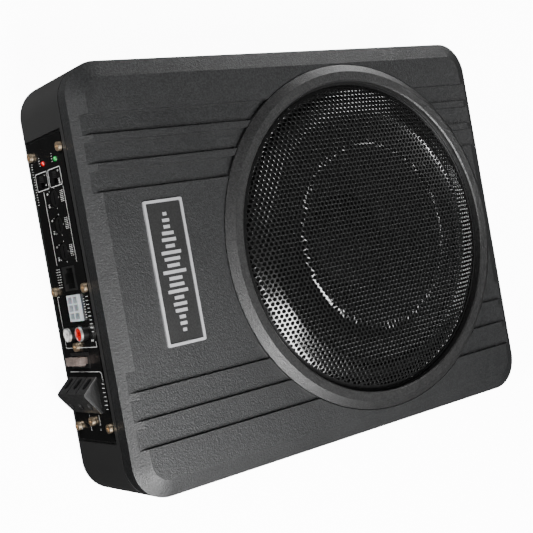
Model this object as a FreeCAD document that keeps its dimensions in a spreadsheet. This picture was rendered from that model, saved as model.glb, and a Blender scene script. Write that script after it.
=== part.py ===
"""Powered car subwoofer: a slim under-seat cabinet with its own amplifier and control panel.

The frame lies flat on its base: +Z is the way the grille faces, +X runs along the cabinet away
from the control panel, and the origin is the centre of the casing's base. Millimetres.
"""
import FreeCAD, Part
import math
import os
import Sketcher

os.makedirs("parts", exist_ok=True)
doc = FreeCAD.newDocument("subwoofer")
Vector = FreeCAD.Vector

# ---------------------------------------------------------------- driving dimensions
DIMENSIONS = {
    # cabinet
    "case_length": 314.0, "case_width": 245.0, "case_corner": 21.0, "case_height": 54.0,
    "case_wall": 3.2, "case_floor": 3.0, "end_wall": 4.5, "foot_edge": 1.5,
    "seam_gap": 0.8, "lid_rim_top": 63.6, "face_height": 68.0, "bevel_inset": 10.0,
    "lid_wall": 3.0, "lid_inside": 63.0,
    "band_width": 11.9, "band_pitch": 15.9, "band_first": 55.3, "band_depth": 2.2,
    "post_radius": 5.0, "post_bore": 3.6, "post_screw_top": 44.0, "post_hole": 1.75,
    "post_inset": 13.0, "side_post_inset": 7.2, "side_post_x": -62.0, "post_pilot": 1.65,
    "stand_radius": 3.2, "stand_tap": 1.3, "boss_radius": 4.1, "boss_pilot": 1.45,
    "driver_tap": 1.95,
    # loudspeaker opening and trim
    "driver_x": 37.4, "opening_radius": 101.0, "rebate_radius": 111.7,
    "ring_radius": 111.2, "ring_crest_radius": 106.2, "ring_inner_radius": 100.2, "ring_top": 72.0,
    "grille_flange": 103.0, "grille_edge": 98.6, "grille_low": 67.4, "grille_shoulder": 81.0,
    "grille_plateau": 73.4, "grille_step": 59.0, "grille_top": 75.4, "grille_sheet": 1.0,
    "badge_x": -111.5, "badge_width": 25.6, "badge_length": 82.6, "badge_border": 1.6,
    "badge_rise": 1.3, "badge_plate_rise": 0.7,
    # loudspeaker
    "mount_plane": 61.0, "flange_radius": 106.5, "flange_thick": 2.6, "driver_screw_circle": 103.8,
    "basket_throat": 86.5, "motor_top": 27.0, "plate_radius": 50.0, "magnet_radius": 48.0,
    "back_plate_low": 4.0, "magnet_low": 9.0, "magnet_high": 21.0, "pole_radius": 24.0,
    "gap_radius": 27.5, "coil_inner": 25.0, "coil_outer": 26.6, "cone_rim": 82.0,
    "cone_low": 44.0, "cone_sheet": 1.1, "roll_radius": 5.2, "roll_centre": 87.5, "rubber": 0.8,
    # control panel
    "recess_half": 89.3, "recess_low": 3.0, "recess_high": 50.5, "recess_depth": 2.5,
    "panel_half": 87.4, "panel_low": 3.8, "panel_high": 48.8, "panel_thick": 2.2,
    "window_half": 84.0, "window_low": 9.2, "window_high": 43.6,
    "board_x": -143.0, "board_thick": 1.6,
    "knob_radius": 4.8, "knob_hole": 5.3, "knob_z": 27.0, "knob_length": 4.8, "knob_shaft": 1.5,
    "lever_travel": 3.0, "lever_width": 3.6, "lever_length": 3.4,
    "jack_y": 6.5, "jack_z": 29.0, "jack_half_wide": 7.0, "jack_half_tall": 8.0,
    "speaker_y": -10.6, "speaker_z": 30.6, "speaker_half_long": 7.5, "speaker_half_tall": 7.0,
    "speaker_pitch": 4.6, "speaker_column": 3.2, "opening_play": 0.1,
    "screw_hole": 1.7, "lamp_radius": 1.5, "rca_neck": 3.95, "rca_pin_hole": 1.6,
    "holder_half_wide": 4.5, "holder_half_long": 12.0, "blade_offset": 6.9,
    "rca_y": -25.4, "rca_low": 20.5, "rca_pitch": 15.3, "rca_radius": 4.15, "rca_out": 4.1,
    "fuse_y": -41.0, "fuse_z": 23.3, "fuse_long": 19.0, "fuse_wide": 4.8, "fuse_out": 4.5,
    "block_low": 4.0, "block_pitch": 12.0, "block_top_y": -50.6, "block_ridge_y": -59.4,
    "block_foot_y": -71.4, "block_out": 9.2, "wire_bore": 2.4, "wire_depth": 6.4,
    # amplifier
    "main_board_z": 8.0,
}

sheet = doc.addObject("Spreadsheet::Sheet", "Sizes")
for row, (alias, amount) in enumerate(DIMENSIONS.items(), start=1):
    sheet.set("A%d" % row, alias)
    sheet.set("B%d" % row, str(amount))
    sheet.setAlias("B%d" % row, alias)
doc.recompute()


class Size:
    """A length with its value and the sheet expression that gives it."""

    def __init__(self, value, text):
        self.value = value
        self.text = text

    def __add__(self, other):
        other = as_size(other)
        return Size(self.value + other.value, "(%s + %s)" % (self.text, other.text))

    def __sub__(self, other):
        other = as_size(other)
        return Size(self.value - other.value, "(%s - %s)" % (self.text, other.text))

    def __mul__(self, factor):
        return Size(self.value * factor, "(%s * %s)" % (self.text, factor))

    def __truediv__(self, divisor):
        return self * (1.0 / divisor)

    def __neg__(self):
        return self * -1.0

    __rmul__ = __mul__

    def __radd__(self, other):
        return as_size(other) + self

    def __rsub__(self, other):
        return as_size(other) - self


def as_size(value):
    return value if isinstance(value, Size) else Size(float(value), repr(float(value)))


def size(alias):
    return Size(DIMENSIONS[alias], "Sizes.%s" % alias)


def bind(item, prop, value):
    """Set a property from a size, through an expression."""
    item.setExpression(prop, as_size(value).text)


# ---------------------------------------------------------------- modelling helpers
subparts = {}
AXIS_TURNS = {
    "+z": FreeCAD.Rotation(),
    "-z": FreeCAD.Rotation(Vector(1, 0, 0), 180),
    "+x": FreeCAD.Rotation(Vector(0, 1, 0), 90),
    "-x": FreeCAD.Rotation(Vector(0, 1, 0), -90),
}


def place(item, x, y, z, turn=None):
    """Put an item at a bound position, turned if asked."""
    spot = Vector(as_size(x).value, as_size(y).value, as_size(z).value)
    item.Placement = FreeCAD.Placement(spot, turn or FreeCAD.Rotation())
    bind(item, "Placement.Base.x", x)
    bind(item, "Placement.Base.y", y)
    bind(item, "Placement.Base.z", z)
    return item


def keep(item, node):
    """Name an item as one sub-part."""
    item.Label = node
    subparts[node] = item
    return item


def block(x_from, x_to, y_from, y_to, z_from, z_to):
    """A Part box between two bound corners."""
    low = [as_size(v) for v in (x_from, y_from, z_from)]
    high = [as_size(v) for v in (x_to, y_to, z_to)]
    item = doc.addObject("Part::Box", "block")
    bind(item, "Length", high[0] - low[0])
    bind(item, "Width", high[1] - low[1])
    bind(item, "Height", high[2] - low[2])
    return place(item, *low)


def rod(radius, length, x, y, z, axis="+z"):
    """A Part cylinder from a bound point along a named axis or a turn."""
    item = doc.addObject("Part::Cylinder", "rod")
    bind(item, "Radius", radius)
    bind(item, "Height", length)
    turn = AXIS_TURNS[axis] if isinstance(axis, str) else axis
    return place(item, x, y, z, turn)


def torus(ring, tube, x, y, z):
    item = doc.addObject("Part::Torus", "torus")
    bind(item, "Radius1", ring)
    bind(item, "Radius2", tube)
    return place(item, x, y, z)


def fuse(items):
    item = doc.addObject("Part::MultiFuse", "fuse")
    item.Shapes = items
    return item


def cut(base, tools):
    item = doc.addObject("Part::Cut", "cut")
    item.Base = base
    item.Tool = tools[0] if len(tools) == 1 else fuse(tools)
    return item


def common(items):
    item = doc.addObject("Part::MultiCommon", "common")
    item.Shapes = items
    return item


def group(items):
    """Like pieces kept as separate solids in one sub-part."""
    item = doc.addObject("Part::Compound", "group")
    item.Links = items
    return item


def tube(outer, inner, low, high, x=0.0, y=0.0):
    """An upright ring between two heights."""
    bore = rod(inner, as_size(high) - low + 2.0, x, y, as_size(low) - 1.0)
    return cut(rod(outer, as_size(high) - low, x, y, low), [bore])


def screw(head_radius, head_height, shank_radius, shank_length, x, y, z, axis):
    """A pan-head screw with a cross recess; the point is under the head, the axis along the head."""
    turn = AXIS_TURNS[axis] if isinstance(axis, str) else axis
    along = turn.multVec(Vector(0, 0, 1))
    head = rod(head_radius, head_height, x, y, z, turn)
    back = [as_size(v) - along[i] * shank_length for i, v in enumerate((x, y, z))]
    shank = rod(shank_radius, shank_length + 0.1, back[0], back[1], back[2], turn)
    arms = []
    for quarter in (0, 90):
        arm = doc.addObject("Part::Box", "recess")
        reach = head_radius * 1.3
        thick = head_radius * 0.3
        arm.Length = reach
        arm.Width = thick
        arm.Height = head_height
        spin = turn.multiply(FreeCAD.Rotation(Vector(0, 0, 1), quarter))
        offset = spin.multVec(Vector(-reach / 2, -thick / 2, head_height * 0.4))
        place(arm, *[as_size(v) + offset[i] for i, v in enumerate((x, y, z))], spin)
        arms.append(arm)
    return cut(fuse([head, shank]), arms)


def new_body(node):
    return keep(doc.addObject("PartDesign::Body", node), node)


def sketch_on(body, role, offset=0.0):
    """A sketch on one of the body's own origin planes, moved along its normal."""
    sketch = body.newObject("Sketcher::SketchObject", "outline")
    plane = [f for f in body.Origin.OriginFeatures if f.Role == role][0]
    sketch.AttachmentSupport = [(plane, "")]
    sketch.MapMode = "FlatFace"
    bind(sketch, "AttachmentOffset.Base.z", offset)
    return sketch


def fix_point(sketch, geometry, position, x, y):
    """Hold one point of the sketch at a bound place."""
    for kind, axis, value in (("DistanceX", -2, as_size(x)), ("DistanceY", -1, as_size(y))):
        if value.text in ("0.0", "-0.0"):
            sketch.addConstraint(Sketcher.Constraint("PointOnObject", geometry, position, axis))
        else:
            rule = Sketcher.Constraint(kind, -1, 1, geometry, position, value.value)
            index = sketch.addConstraint(rule)
            sketch.setExpression("Constraints[%d]" % index, value.text)


def circle(sketch, x, y, radius):
    spot = Vector(as_size(x).value, as_size(y).value, 0)
    index = sketch.addGeometry(Part.Circle(spot, Vector(0, 0, 1), as_size(radius).value))
    fix_point(sketch, index, 3, x, y)
    rule = sketch.addConstraint(Sketcher.Constraint("Radius", index, as_size(radius).value))
    sketch.setExpression("Constraints[%d]" % rule, as_size(radius).text)


def polygon(sketch, corners):
    """A closed outline through bound corners."""
    spots = [Vector(as_size(x).value, as_size(y).value, 0) for x, y in corners]
    first = sketch.GeometryCount
    count = len(spots)
    for i in range(count):
        sketch.addGeometry(Part.LineSegment(spots[i], spots[(i + 1) % count]))
    for i in range(count):
        after = first + (i + 1) % count
        sketch.addConstraint(Sketcher.Constraint("Coincident", first + i, 2, after, 1))
    for i, (x, y) in enumerate(corners):
        fix_point(sketch, first + i, 1, x, y)


def rectangle(sketch, x_from, x_to, y_from, y_to):
    polygon(sketch, [(x_from, y_from), (x_to, y_from), (x_to, y_to), (x_from, y_to)])


def rounded_rectangle(sketch, x_from, x_to, y_from, y_to, radius):
    """Four corner arcs held by their centres, joined by tangent sides."""
    x_low, x_high, y_low, y_high, r = [as_size(v) for v in (x_from, x_to, y_from, y_to, radius)]
    centres = [(x_high - r, y_high - r), (x_low + r, y_high - r),
               (x_low + r, y_low + r), (x_high - r, y_low + r)]
    arcs = []
    for quarter, (x, y) in enumerate(centres):
        full = Part.Circle(Vector(x.value, y.value, 0), Vector(0, 0, 1), r.value)
        start = quarter * math.pi / 2
        index = sketch.addGeometry(Part.ArcOfCircle(full, start, start + math.pi / 2))
        fix_point(sketch, index, 3, x, y)
        rule = sketch.addConstraint(Sketcher.Constraint("Radius", index, r.value))
        sketch.setExpression("Constraints[%d]" % rule, r.text)
        arcs.append(index)
    for i, arc in enumerate(arcs):
        after = arcs[(i + 1) % 4]
        start = sketch.getPoint(arc, 2)
        end = sketch.getPoint(after, 1)
        side = sketch.addGeometry(Part.LineSegment(start, end))
        sketch.addConstraint(Sketcher.Constraint("Tangent", arc, 2, side, 1))
        sketch.addConstraint(Sketcher.Constraint("Tangent", side, 2, after, 1))


def pad(body, sketch, length, reverse=False):
    feature = body.newObject("PartDesign::Pad", "pad")
    feature.Profile = sketch
    feature.Reversed = reverse
    bind(feature, "Length", length)
    return feature


def pocket(body, sketch, depth, reverse=False):
    """Cut against the sketch's normal, or along it when reversed."""
    feature = body.newObject("PartDesign::Pocket", "pocket")
    feature.Profile = sketch
    feature.Reversed = reverse
    bind(feature, "Length", depth)
    return feature


def polar(body, feature, sketch, count):
    """Repeat a feature round the body's upright axis."""
    pattern = body.newObject("PartDesign::PolarPattern", "pattern")
    pattern.Originals = [feature]
    pattern.Axis = (sketch, ["N_Axis"])
    pattern.Angle = 360
    pattern.Occurrences = count
    body.Tip = pattern
    return pattern


def turned(node, profile, x=0.0):
    """A body of revolution about an upright axis, from a radius and height profile."""
    body = new_body(node)
    outline = sketch_on(body, "XZ_Plane")
    polygon(outline, profile)
    feature = body.newObject("PartDesign::Revolution", "turn")
    feature.Profile = outline
    feature.ReferenceAxis = (outline, ["V_Axis"])
    feature.Angle = 360
    bind(body, "Placement.Base.x", x)
    return body


# ---------------------------------------------------------------- shared places
half_length = size("case_length") / 2
half_width = size("case_width") / 2
end_face = -half_length
ledge_x = end_face + size("recess_depth")
panel_face = ledge_x - size("panel_thick")
driver_x = size("driver_x")
lid_low = size("case_height") + size("seam_gap")
face = size("face_height")
board_x = size("board_x")

post_x = half_length - size("post_inset")
post_y = half_width - size("post_inset")
side_post_y = half_width - size("side_post_inset")
LID_POSTS = [
    (post_x, post_y), (post_x, -post_y), (-post_x, post_y), (-post_x, -post_y),
    (size("side_post_x"), side_post_y), (size("side_post_x"), -side_post_y),
    (half_length - size("side_post_inset"), as_size(0)),
]
# screws: head radius, head height, shank radius, shank length
LID_SCREW = (3.2, 2.4, 1.6, 14.0)
DRIVER_SCREW = (3.3, 2.2, 1.85, 6.0)
PANEL_SCREW = (2.6, 1.9, 1.4, 8.0)
JACK_SCREW = (2.6, 1.9, 1.4, 5.0)
BOARD_SCREW = (2.7, 1.8, 1.2, 6.0)
# how far a feature runs into the solid it joins, and how far a cutting tool stands proud
OVERLAP = 0.5
PROUD = 1.0
PANEL_SCREWS = [(y, z) for y in (-79.7, 0.0, 79.7) for z in (6.9, 46.4)]
BOARD_POSTS = [(x, y) for x in (-132.0, -78.0) for y in (-92.0, 92.0)]
# places on the control panel: along the width, then up from the base
SMALL_SCREWS = [(-33.0, 22.9), (-76.3, 26.0)]
LIGHTS = {"power_light": (74.0, 38.1), "protect_light": (74.0, 21.2)}
KNOBS = {"level_knob": 52.9, "crossover_knob": 37.4, "bass_knob": 22.0}
SWITCH_Y = 64.3
SWITCHES = {"input_switch": 15.8, "phase_switch": 33.6}
RCA_HEIGHTS = [size("rca_low"), size("rca_low") + size("rca_pitch")]


def base_casing():
    """Die-cast tray: floor, four walls, screw posts and the recessed end for the panel."""
    body = new_body("base_casing")
    outline = sketch_on(body, "XY_Plane")
    rounded_rectangle(outline, -half_length, half_length, -half_width, half_width,
                      size("case_corner"))
    pad(body, outline, size("case_height"))
    inside = sketch_on(body, "XY_Plane", size("case_height"))
    wall = size("case_wall")
    rounded_rectangle(inside, end_face + size("end_wall"), half_length - wall,
                      wall - half_width, half_width - wall, size("case_corner") - wall)
    pocket(body, inside, size("case_height") - size("case_floor"))
    posts = sketch_on(body, "XY_Plane", size("case_height"))
    for x, y in LID_POSTS:
        circle(posts, x, y, size("post_radius"))
    pad(body, posts, size("case_height") - size("case_floor") + OVERLAP, reverse=True)
    stands = sketch_on(body, "XY_Plane", size("main_board_z"))
    for x, y in BOARD_POSTS:
        circle(stands, x, y, size("stand_radius"))
    pad(body, stands, size("main_board_z") - size("case_floor") + OVERLAP, reverse=True)
    taps = sketch_on(body, "XY_Plane", size("main_board_z"))
    for x, y in BOARD_POSTS:
        circle(taps, x, y, size("stand_tap"))
    pocket(body, taps, 6.0)
    recess = sketch_on(body, "YZ_Plane", ledge_x)
    rectangle(recess, -size("recess_half"), size("recess_half"),
              size("recess_low"), size("recess_high"))
    pocket(body, recess, 6.0)
    window = sketch_on(body, "YZ_Plane", end_face + 8)
    rectangle(window, -size("window_half"), size("window_half"),
              size("window_low"), size("window_high"))
    pocket(body, window, 12.0)
    bosses = sketch_on(body, "YZ_Plane", end_face + 10)
    for y, z in PANEL_SCREWS:
        circle(bosses, y, z, size("boss_radius"))
    pad(body, bosses, 6.0, reverse=True)
    pilots = sketch_on(body, "YZ_Plane", end_face + 11)
    for y, z in PANEL_SCREWS:
        circle(pilots, y, z, size("boss_pilot"))
    pocket(body, pilots, 12.0)
    bores = sketch_on(body, "XY_Plane")
    for x, y in LID_POSTS:
        circle(bores, x, y, size("post_bore"))
    pocket(body, bores, size("post_screw_top"), reverse=True)
    holes = sketch_on(body, "XY_Plane")
    for x, y in LID_POSTS:
        circle(holes, x, y, size("post_hole"))
    pocket(body, holes, size("case_height") + PROUD, reverse=True)
    doc.recompute()
    rim = body.newObject("PartDesign::Chamfer", "foot_chamfer")
    corner = size("case_corner").value
    reach = half_width.value - corner - 0.1
    quarter_turn = corner * math.pi / 2
    names = []
    for i, edge in enumerate(rim.BaseFeature.Shape.Edges, start=1):
        box = edge.BoundBox
        on_floor = box.ZMax < 0.01
        far_x = max(abs(box.XMin), abs(box.XMax)) > half_length.value - corner - 1
        far_y = max(abs(box.YMin), abs(box.YMax)) > half_width.value - corner - 1
        long_enough = edge.Length > reach or abs(edge.Length - quarter_turn) < 0.5
        if on_floor and (far_x or far_y) and long_enough:
            names.append("Edge%d" % i)
    rim.Base = (rim.BaseFeature, names)
    bind(rim, "Size", size("foot_edge"))
    body.Tip = rim


def front_lid():
    """Moulded front: bevelled shell with recessed bands, a rebate for the ring, and bosses."""
    body = new_body("front_lid")
    outline = sketch_on(body, "XY_Plane", lid_low)
    rounded_rectangle(outline, -half_length, half_length, -half_width, half_width,
                      size("case_corner"))
    pad(body, outline, face - lid_low)
    doc.recompute()
    bevel = body.newObject("PartDesign::Chamfer", "bevel")
    solid = bevel.BaseFeature.Shape
    top = ["Edge%d" % i for i, edge in enumerate(solid.Edges, start=1)
           if edge.BoundBox.ZMin > face.value - 0.01]
    bevel.Base = (bevel.BaseFeature, top)
    bevel.ChamferType = "Two distances"
    bind(bevel, "Size", size("bevel_inset"))
    bind(bevel, "Size2", face - size("lid_rim_top"))
    body.Tip = bevel
    doc.recompute()
    if not bevel_is_wide(bevel.Shape):
        bevel.FlipDirection = True
    inside = sketch_on(body, "XY_Plane", lid_low)
    wall = size("lid_wall")
    rounded_rectangle(inside, wall - half_length, half_length - wall,
                      wall - half_width, half_width - wall, size("case_corner") - wall)
    pocket(body, inside, size("lid_inside") - lid_low, reverse=True)
    posts = sketch_on(body, "XY_Plane", lid_low)
    for x, y in LID_POSTS:
        circle(posts, x, y, size("post_radius"))
    pad(body, posts, size("lid_inside") - lid_low + OVERLAP)
    land = sketch_on(body, "XY_Plane", size("mount_plane"))
    circle(land, driver_x, 0, size("flange_radius") + 0.5)
    pad(body, land, size("lid_inside") - size("mount_plane") + OVERLAP)
    hole = sketch_on(body, "XY_Plane", face + PROUD)
    circle(hole, driver_x, 0, size("opening_radius"))
    pocket(body, hole, 20.0)
    rebate = sketch_on(body, "XY_Plane", face + PROUD)
    circle(rebate, driver_x, 0, size("rebate_radius"))
    pocket(body, rebate, size("band_depth") + PROUD)
    bands = sketch_on(body, "XY_Plane", face + PROUD)
    for side in (-1, 1):
        for step in range(3):
            middle = (size("band_first") + size("band_pitch") * step) * side
            rectangle(bands, -half_length - 5, half_length + 5,
                      middle - size("band_width") / 2, middle + size("band_width") / 2)
    pocket(body, bands, size("band_depth") + PROUD)
    pilots = sketch_on(body, "XY_Plane", lid_low)
    for x, y in LID_POSTS:
        circle(pilots, x, y, size("post_pilot"))
    pocket(body, pilots, 6.5, reverse=True)
    taps = sketch_on(body, "XY_Plane", size("mount_plane"))
    for x, y in driver_screw_places():
        circle(taps, x, y, size("driver_tap"))
    pocket(body, taps, 3.8, reverse=True)


def bevel_is_wide(shape):
    """True when the bevel's wide leg lies on the face, not down the side."""
    flat = max((f for f in shape.Faces if f.BoundBox.ZMin > face.value - 0.01),
               key=lambda f: f.Area)
    return flat.BoundBox.XMax < half_length.value - size("bevel_inset").value + 0.5


def driver_screw_places():
    places = []
    for step in range(8):
        angle = math.radians(22.5 + 45 * step)
        reach = size("driver_screw_circle")
        places.append((driver_x + reach * math.cos(angle), reach * math.sin(angle)))
    return places


def lid_gasket():
    """Foam bead in the seam between tray and lid, set in from the outside."""
    body = new_body("lid_gasket")
    outline = sketch_on(body, "XY_Plane", size("case_height"))
    for inset in (1.0, 2.8):
        rounded_rectangle(outline, inset - half_length, half_length - inset,
                          inset - half_width, half_width - inset, size("case_corner") - inset)
    pad(body, outline, size("seam_gap"))


def trim_and_grille():
    """Bevelled trim ring, the stepped grille it holds, and the badge on the face."""
    seat = face - size("band_depth")
    crest = size("ring_top")
    flange_top = seat + size("grille_sheet") + 0.1
    inner = size("ring_inner_radius")
    turned("grille_ring", [
        (size("ring_radius"), seat), (size("ring_radius"), face + 0.2),
        (size("ring_crest_radius"), crest), (inner + 0.8, crest), (inner, crest - 0.8),
        (inner, flange_top), (size("grille_flange") + 0.3, flange_top),
        (size("grille_flange") + 0.3, seat)], driver_x)
    thick = size("grille_sheet")
    plateau = size("grille_plateau")
    top = size("grille_top")
    low = size("grille_low")
    step = size("grille_step")
    turned("grille_mesh", [
        (0, top - thick), (0, top), (step - 2.5, top), (step + 1.5, plateau + 0.5),
        (size("grille_shoulder"), plateau), (size("grille_edge"), low),
        (size("grille_edge"), seat + thick), (size("grille_flange"), seat + thick),
        (size("grille_flange"), seat), (size("grille_edge") - thick, seat),
        (size("grille_edge") - thick, low - thick * 0.6),
        (size("grille_shoulder") - 0.3, plateau - thick), (step + 1.2, plateau - thick + 0.5),
        (step - 2.8, top - thick)], driver_x)
    wide = size("badge_width")
    long = size("badge_length")
    border = size("badge_border")
    body = new_body("badge_frame")
    outline = sketch_on(body, "XY_Plane", face)
    rounded_rectangle(outline, -wide / 2, wide / 2, -long / 2, long / 2, 1.2)
    rounded_rectangle(outline, border - wide / 2, wide / 2 - border,
                      border - long / 2, long / 2 - border, 0.6)
    pad(body, outline, size("badge_rise"))
    bind(body, "Placement.Base.x", size("badge_x"))
    body = new_body("badge_plate")
    outline = sketch_on(body, "XY_Plane", face)
    inset = border + 0.05
    rounded_rectangle(outline, inset - wide / 2, wide / 2 - inset,
                      inset - long / 2, long / 2 - inset, 0.55)
    pad(body, outline, size("badge_plate_rise"))
    bind(body, "Placement.Base.x", size("badge_x"))


def lid_screws():
    """Screws up through the tray's deep posts into the lid."""
    under_head = size("post_screw_top")
    keep(group([screw(*LID_SCREW, x, y, under_head, "-z") for x, y in LID_POSTS]),
         "lid_screws")


def driver_frame():
    """Pressed basket with windows, its screws, gasket and solder-tag block."""
    plane = size("mount_plane")
    under = plane - size("flange_thick")
    motor = size("motor_top")
    throat = size("basket_throat")
    body = turned("driver_basket", [
        (size("flange_radius"), plane), (size("flange_radius"), under), (throat + 2.5, under),
        (throat + 2.5, 50), (62, motor), (33, motor), (33, motor + 2.5), (61, motor + 2.5),
        (throat, 51), (throat, plane)], driver_x)
    opening = sketch_on(body, "XY_Plane", 49.5)
    rectangle(opening, 64, 84, -18, 18)
    first = pocket(body, opening, 17.0)
    polar(body, first, opening, 6)
    holes = sketch_on(body, "XY_Plane", plane + 1)
    reach = size("driver_screw_circle")
    angle = math.radians(22.5)
    circle(holes, reach * math.cos(angle), reach * math.sin(angle), 2.1)
    second = pocket(body, holes, 6.0)
    polar(body, second, holes, 8)
    keep(group([screw(*DRIVER_SCREW, x, y, under, "-z")
                for x, y in driver_screw_places()]), "driver_screws")
    keep(tube(100.4, 94.0, plane + size("rubber") + 0.05, face - size("band_depth") - 0.3,
              driver_x), "driver_gasket")
    tag_x = driver_x - throat - 2.5
    keep(fuse([block(tag_x - 5, tag_x - 0.2, -9, 9, 51, 57),
               block(tag_x - 7, tag_x - 4.9, -6, -4, 52, 56),
               block(tag_x - 7, tag_x - 4.9, 4, 6, 52, 56)]), "driver_terminal")


def driver_motor():
    """Back plate, ring magnet, top plate and pole, stacked under the basket."""
    low = size("back_plate_low")
    keep(rod(size("plate_radius"), size("magnet_low") - low, driver_x, 0, low), "back_plate")
    keep(tube(size("magnet_radius"), size("gap_radius") + 3, size("magnet_low"),
              size("magnet_high"), driver_x), "ring_magnet")
    keep(tube(size("plate_radius"), size("gap_radius"), size("magnet_high"),
              size("motor_top"), driver_x), "top_plate")
    keep(rod(size("pole_radius"), size("motor_top") + 1 - size("magnet_low"), driver_x, 0,
             size("magnet_low")), "pole_piece")


def moving_cone():
    """Voice coil, former, cone and dust cap, with the roll surround and the spider."""
    inner = size("coil_inner")
    plane = size("mount_plane")
    rim = size("cone_rim")
    sheet_thick = size("cone_sheet")
    low = size("cone_low")
    keep(tube(size("coil_outer"), inner + 0.02, 17, 31, driver_x), "voice_coil")
    keep(tube(inner, inner - 0.5, 17, 46, driver_x), "coil_former")
    turned("speaker_cone", [
        (inner + 0.1, low), (rim - 3, plane - sheet_thick), (rim, plane - sheet_thick),
        (rim, plane), (rim - 3.4, plane), (inner + 0.1, low + sheet_thick)], driver_x)
    balls = []
    for radius in (62.0, 61.0):
        ball = doc.addObject("Part::Sphere", "ball")
        bind(ball, "Radius", radius)
        balls.append(place(ball, driver_x, 0, -7.5))
    cap_radius = 30.0
    keep(common([cut(balls[0], balls[1:]), rod(cap_radius, 12, driver_x, 0, low + 2.9)]),
         "dust_cap")
    rubber = size("rubber")
    roll = size("roll_radius")
    middle = size("roll_centre")
    shell = cut(torus(middle, roll, driver_x, 0, plane),
                [torus(middle, roll - rubber, driver_x, 0, plane),
                 rod(120, 20, driver_x, 0, plane - 20)])
    keep(fuse([shell, tube(middle - roll + rubber, rim - 3.4, plane, plane + rubber, driver_x),
               tube(100.4, middle + roll - rubber, plane, plane + rubber, driver_x)]),
         "roll_surround")
    folds = 12
    wave = 1.2
    spider_z = 34.8
    spider_rim = 66.0
    reach = spider_rim - inner.value - 0.1
    top = []
    for i in range(folds + 1):
        lift = 0.0 if i in (0, folds) else (wave if i % 2 else -wave)
        top.append((inner + 0.1 + reach * i / folds, as_size(spider_z + lift)))
    under = [(r, z - 0.7) for r, z in reversed(top)]
    turned("spider", top + under, driver_x)


def panel_plate():
    """Control panel: a flat moulded plate with an opening for every control and socket."""
    body = new_body("control_panel")
    outline = sketch_on(body, "YZ_Plane", ledge_x)
    rounded_rectangle(outline, -size("panel_half"), size("panel_half"),
                      size("panel_low"), size("panel_high"), 1.0)
    for y, z in PANEL_SCREWS + SMALL_SCREWS:
        circle(outline, y, z, size("screw_hole"))
    for y, z in LIGHTS.values():
        circle(outline, y, z, size("lamp_radius") + 0.15)
    for y in KNOBS.values():
        circle(outline, y, size("knob_z"), size("knob_hole"))
    slot = (size("lever_width") + size("lever_travel")) / 2 + 0.4
    for z in SWITCHES.values():
        rectangle(outline, SWITCH_Y - slot, SWITCH_Y + slot,
                  z - size("lever_length") / 2 - 0.3, z + size("lever_length") / 2 + 0.3)
    play = size("opening_play")
    for name, reach_y, reach_z in (("jack", "jack_half_wide", "jack_half_tall"),
                                   ("speaker", "speaker_half_long", "speaker_half_tall"),
                                   ("fuse", "holder_half_wide", "holder_half_long")):
        y = size(name + "_y")
        z = size(name + "_z")
        wide = size(reach_y) + play
        tall = size(reach_z) + play
        rectangle(outline, y - wide, y + wide, z - tall, z + tall)
    for z in RCA_HEIGHTS:
        circle(outline, size("rca_y"), z, size("rca_radius") + 0.4)
    rectangle(outline, size("block_foot_y") + 1.2, size("block_top_y") - 1.2,
              size("block_low") + 3.4, size("block_low") + size("block_pitch") * 3 - 2)
    pad(body, outline, size("panel_thick"), reverse=True)


def panel_screws():
    keep(group([screw(*PANEL_SCREW, panel_face, y, z, "-x") for y, z in PANEL_SCREWS]),
         "panel_screws")
    keep(group([screw(*JACK_SCREW, panel_face, y, z, "-x") for y, z in SMALL_SCREWS]),
         "jack_screws")


def lights():
    """Two domed indicator lights on long leads."""
    for node, (y, z) in LIGHTS.items():
        dome = doc.addObject("Part::Sphere", "dome")
        bind(dome, "Radius", size("lamp_radius"))
        place(dome, panel_face + 0.2, y, z)
        barrel = rod(size("lamp_radius"), ledge_x + 1.5 - panel_face, panel_face + 0.2, y, z, "+x")
        foot = rod(1.9, 1.0, ledge_x + 0.8, y, z, "+x")
        leads = [rod(0.25, board_x - ledge_x - 1.7, ledge_x + 1.7, y, z + side, "+x")
                 for side in (-0.9, 0.9)]
        keep(fuse([dome, barrel, foot] + leads), node)


def switches():
    """Slide switches: a housing on the board and a lever through the panel's slot."""
    wide = size("lever_width")
    tall = size("lever_length")
    slot = (wide + size("lever_travel")) / 2 + 0.15
    front = ledge_x + 1.5
    for node, z in SWITCHES.items():
        room = block(front - 1, front + 4.2, SWITCH_Y - slot, SWITCH_Y + slot,
                     z - tall / 2 - 0.15, z + tall / 2 + 0.15)
        keep(cut(block(front, board_x, SWITCH_Y - 6.5, SWITCH_Y + 6.5, z - 3.6, z + 3.6), [room]),
             node + "_body")
        start = SWITCH_Y + size("lever_travel") / 2
        lever = block(panel_face - 0.6, front + 4.0, start - wide / 2, start + wide / 2,
                      z - tall / 2, z + tall / 2)
        grips = [block(panel_face - 1.6, panel_face - 0.2, start + offset - 0.3,
                       start + offset + 0.3, z - tall, z + tall) for offset in (-1.0, 0.0, 1.0)]
        keep(cut(lever, grips), node + "_lever")


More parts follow.
